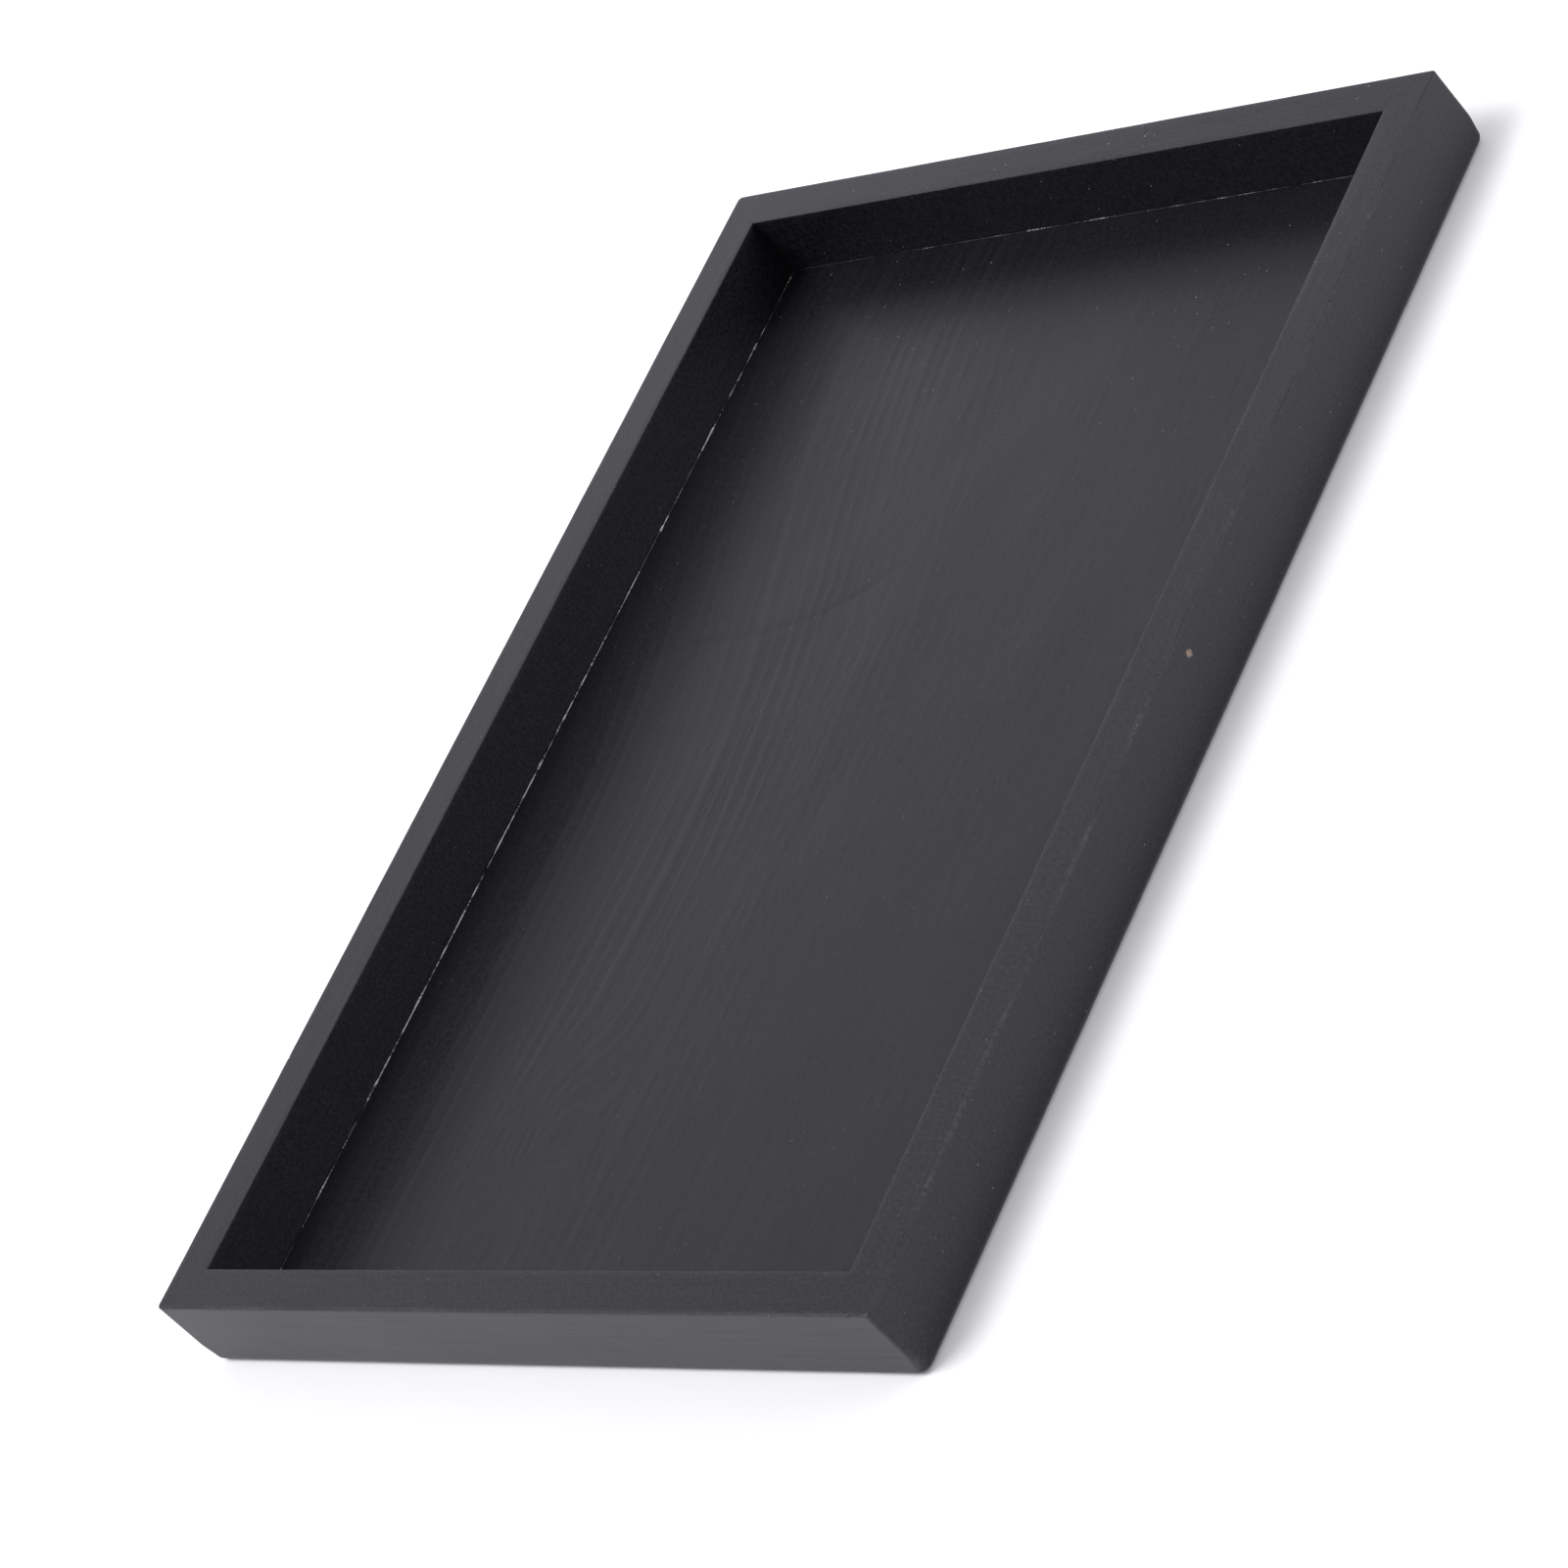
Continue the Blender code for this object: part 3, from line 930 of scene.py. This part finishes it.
def ply(name, low, high, step_top, step_bottom, rows, finish, top_relief=None, bottom_relief=None):
    """One ply between two heights. Each relief is a function of x and y that moves its face outwards."""
    left, right = -board_x + PLY_ARRIS, board_x - PLY_ARRIS
    lower, upper = low + PLY_ARRIS, high - PLY_ARRIS
    edge_step = (high - low) / 3
    loop = np.concatenate([
        run((left, low), (right, low), step_bottom),
        run((right, low), (board_x, lower), PLY_ARRIS),
        run((board_x, lower), (board_x, upper), edge_step),
        run((board_x, upper), (right, high), PLY_ARRIS),
        run((right, high), (left, high), step_top),
        run((left, high), (-board_x, upper), PLY_ARRIS),
        run((-board_x, upper), (-board_x, lower), edge_step),
        run((-board_x, lower), (left, low), PLY_ARRIS),
    ])
    y = np.linspace(board_y, -board_y, rows)[:, None] * np.ones(len(loop))
    x = loop[:, 0] * np.ones_like(y)
    z = loop[:, 1] * np.ones_like(y)
    if top_relief:
        z = z + (z > high - PLY_ARRIS / 2) * top_relief(x, y)
    if bottom_relief:
        z = z - (z < low + PLY_ARRIS / 2) * bottom_relief(x, y)
    dusty = 0.30 + 0.70 * step_up(y, 0.4 * inner_y, inner_y)
    made = carried(name, np.stack([x, y, z], axis=-1), finish, {"pale": pale(x, y), "dusty": dusty})
    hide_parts("back_panel")


def back_relief(x, y):
    """The back veneer comes from another part of the log: the figure mirrored, longer and fainter."""
    return veneer_relief(-x, y * BACK_GRAIN) * BACK_GRAIN


ply(
    "board_face", panel_high.z - VENEER, panel_high.z, step_top=0.6 * MM, step_bottom=12 * MM,
    rows=285, finish=paint_board, top_relief=held_at_walls,
)
ply(
    "board_core", panel_low.z + VENEER + PLY_GAP, panel_high.z - VENEER - PLY_GAP, step_top=4 * MM,
    step_bottom=4 * MM, rows=40, finish=core_wood,
)
ply(
    "board_back", panel_low.z, panel_low.z + VENEER, step_top=12 * MM, step_bottom=0.8 * MM,
    rows=220, finish=paint_board, bottom_relief=back_relief,
)

# %% [markdown]
# ## The seam
#
# Where the board meets the walls, a little glue was squeezed out before the box was sprayed. It fills
# the corner with a bead that swells and starves, and where the board has moved since, the paint has
# cracked along it and the pale glue shows in flecks. The bead is a small outline of its own, carried
# round the inside, and its size at each step is a sum of uneven heights.

# %% Paint that has cracked along the glue
GLUE_PALE = (0.37, 0.37, 0.355, 1)
seam_paint = Finish("cracked_seam_paint", {"IOR": PAINT_IOR, "Roughness": 0.5})
flaking = seam_paint.noise(1900.0, detail=3.0, roughness=0.6)
flakes = seam_paint.ramp(flaking + seam_paint.read("cracked"), 0.86, 1.24)
seam_paint.feed(seam_paint.shader, {
    "Base Color": seam_paint.mixed(flakes, PAINT_BLACK, GLUE_PALE),
    "Normal": seam_paint.bump(flaking, 0.05 * MM),
})

# %% Lay the bead along one wall
BEAD_STEP = 0.22 * MM
BEAD_OUT = np.array([-0.10, 0.02, 0.16, 0.42, 0.75, 1.0, 1.0, -0.10])
BEAD_UP = np.array([1.0, 1.0, 0.72, 0.40, 0.16, 0.03, -0.4, -0.4])
BEAD_SKIN = np.array([0, 0, 1, 1, 1, 0, 0, 0])


def bead(name, reach, wall, turn, seed, cracked_runs, crack, fullness=1.0):
    """The bead along one wall, made on the -Y side and turned.

    Its section is a curved triangle: up the wall, across to the board, and back under both. Up and
    out are the same uneven size, between a hair and a third of a millimetre. crack is how far the
    paint has cracked, most on the cracked runs, which are (along, half length) in millimetres.
    """
    along = np.linspace(-reach, reach, math.ceil(2 * reach / BEAD_STEP) + 1)[:, None]

    def waves(cell, number):
        """Uneven numbers from -1 to 1 along the bead, with cells in millimetres."""
        return uneven(np.zeros_like(along), along, 1, cell * MM, seed + number)

    size = 0.15 + 0.09 * waves(7, 0) + 0.06 * waves(1.3, 1) + 0.22 * step_up(waves(3.1, 2), 0.35, 0.9)
    size = fullness * np.clip(size, 0.05, 0.38) * MM
    out = BEAD_OUT * size + BEAD_SKIN * (0.03 * MM * waves(0.9, 3))
    up = BEAD_UP * size
    points = np.stack([along * np.ones_like(out), -wall + out, panel_high.z + up], axis=-1)
    points = points[:, ::-1] @ np.array(Matrix.Rotation(-turn, 3, "Z"))

    runs = sum(plateau(along - middle * MM, half * MM) for middle, half in cracked_runs)
    fading = step_up(reach - np.abs(along), 2 * MM, 30 * MM)
    cracked = (0.66 + 0.34 * np.clip(runs, 0, 1)) * (0.7 + 0.3 * fading)
    cracked = crack * (cracked + 0.46 * waves(2.6, 4) + 0.14 * waves(0.8, 5))
    made = carried(name, points, seam_paint, {"cracked": cracked * np.ones_like(out)})


bead("seam_bead_bottom", inner_x, inner_y, 0, 101, [], 0.35)
bead("seam_bead_right", inner_y, inner_x, quarter, 111, [(40, 20)], 0.55)
bead("seam_bead_top", inner_x, inner_y, 2 * quarter, 121, [(-20, 40)], 0.42, fullness=0.5)
bead("seam_bead_left", inner_y, inner_x, -quarter, 131, [(15, 62)], 0.62, fullness=0.8)

# %% [markdown]
# ## Steel under overspray
#
# The fixings were in place when the back was sprayed, so they are black too, but paint holds badly on
# plated steel. It comes off first where a hammer or a fingernail has touched it. A mask of noise mixes
# paint and metal, and it drives colour, metallic and roughness together, because a spot is either
# the one or the other.

# %% Mix steel and paint
STEEL_GREY = (0.50, 0.50, 0.49, 1)
STEEL_BUMP = 0.03 * MM


def oversprayed(name, share_bare, drawn):
    """Plated steel with black paint on it. share_bare is how much has come off, from 0 to 1, and
    drawn is the noise cells to the metre of the lines that drawing the steel leaves."""
    finish = Finish(name, {"IOR": PAINT_IOR})
    blotches = finish.noise(900.0, detail=4.0, roughness=0.65)
    lines = finish.noise(drawn)
    bare = finish.ramp(blotches, 0.72 - 0.4 * share_bare, 0.80 - 0.4 * share_bare)
    finish.feed(finish.shader, {
        "Base Color": finish.mixed(bare, PAINT_BLACK, STEEL_GREY),
        "Metallic": bare,
        "Roughness": 0.45 - bare * 0.15 + lines * 0.12,
        "Normal": finish.bump(lines * 0.4 + blotches * 0.6, STEEL_BUMP),
    })
    return finish


nail_steel = oversprayed("v_nail_steel", 0.55, (3000.0, 3000.0, 120.0))
pin_steel = oversprayed("panel_pin_steel", 0.45, (1600.0, 1600.0, 200.0))
nail_names = [name for name in nodes if name.startswith("v_nail")]
for name in nail_names:
    nodes[name].data.materials.clear()
    nodes[name].data.materials.append(nail_steel.material)
print("V-nails given their steel:", len(nail_names))

# %% [markdown]
# ## The pins
#
# Each pin is a turned shape, so it is a list of radii and heights swept about its own axis. The head
# is slightly domed and has a small cone under it, which draws it down on the board.

# %% Turn a pin for each one in the working model
PIN_SIDES = 40
HEAD_BEND = 0.03
POINT_LENGTH = 1.5 * MM


def turned_pin(node, seed):
    """A pin swept from its profile: each point goes round its axis at its own radius.

    The rim of the head is bent by a wave of the angle, as a hammer leaves it.
    """
    pin_low, pin_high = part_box(node)
    middle = (pin_low + pin_high) / 2
    head = (pin_high.x - pin_low.x) / 2
    shank = head / 2
    top = pin_low.z
    profile = np.array([
        (0.02 * head, top), (0.45 * head, top + 0.02 * MM), (0.80 * head, top + 0.07 * MM),
        (0.95 * head, top + 0.14 * MM), (head, top + 0.24 * MM), (0.97 * head, top + 0.34 * MM),
        (0.85 * head, top + 0.40 * MM), (shank, panel_low.z + 0.05 * MM),
        (shank, pin_high.z - POINT_LENGTH), (0.05 * head, pin_high.z),
    ])
    radius, height = profile.T[:, :, None]
    angle = np.linspace(0, 2 * np.pi, PIN_SIDES, endpoint=False)
    phase = np.random.default_rng(seed).uniform(0, 2 * np.pi)
    across = radius * (1 - HEAD_BEND * (0.5 + 0.5 * np.cos(2 * angle + phase)) * (radius > shank))
    points = np.stack([
        middle.x + across * np.cos(angle), middle.y + across * np.sin(angle),
        height * np.ones_like(angle),
    ], axis=-1)
    made = carried(node + "_turned", points, pin_steel)
    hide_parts(node)


pin_names = sorted(name for name in nodes if name.startswith("panel_pin"))
for number, name in enumerate(pin_names):
    turned_pin(name, 200 + number)
print("pins turned:", len(pin_names))
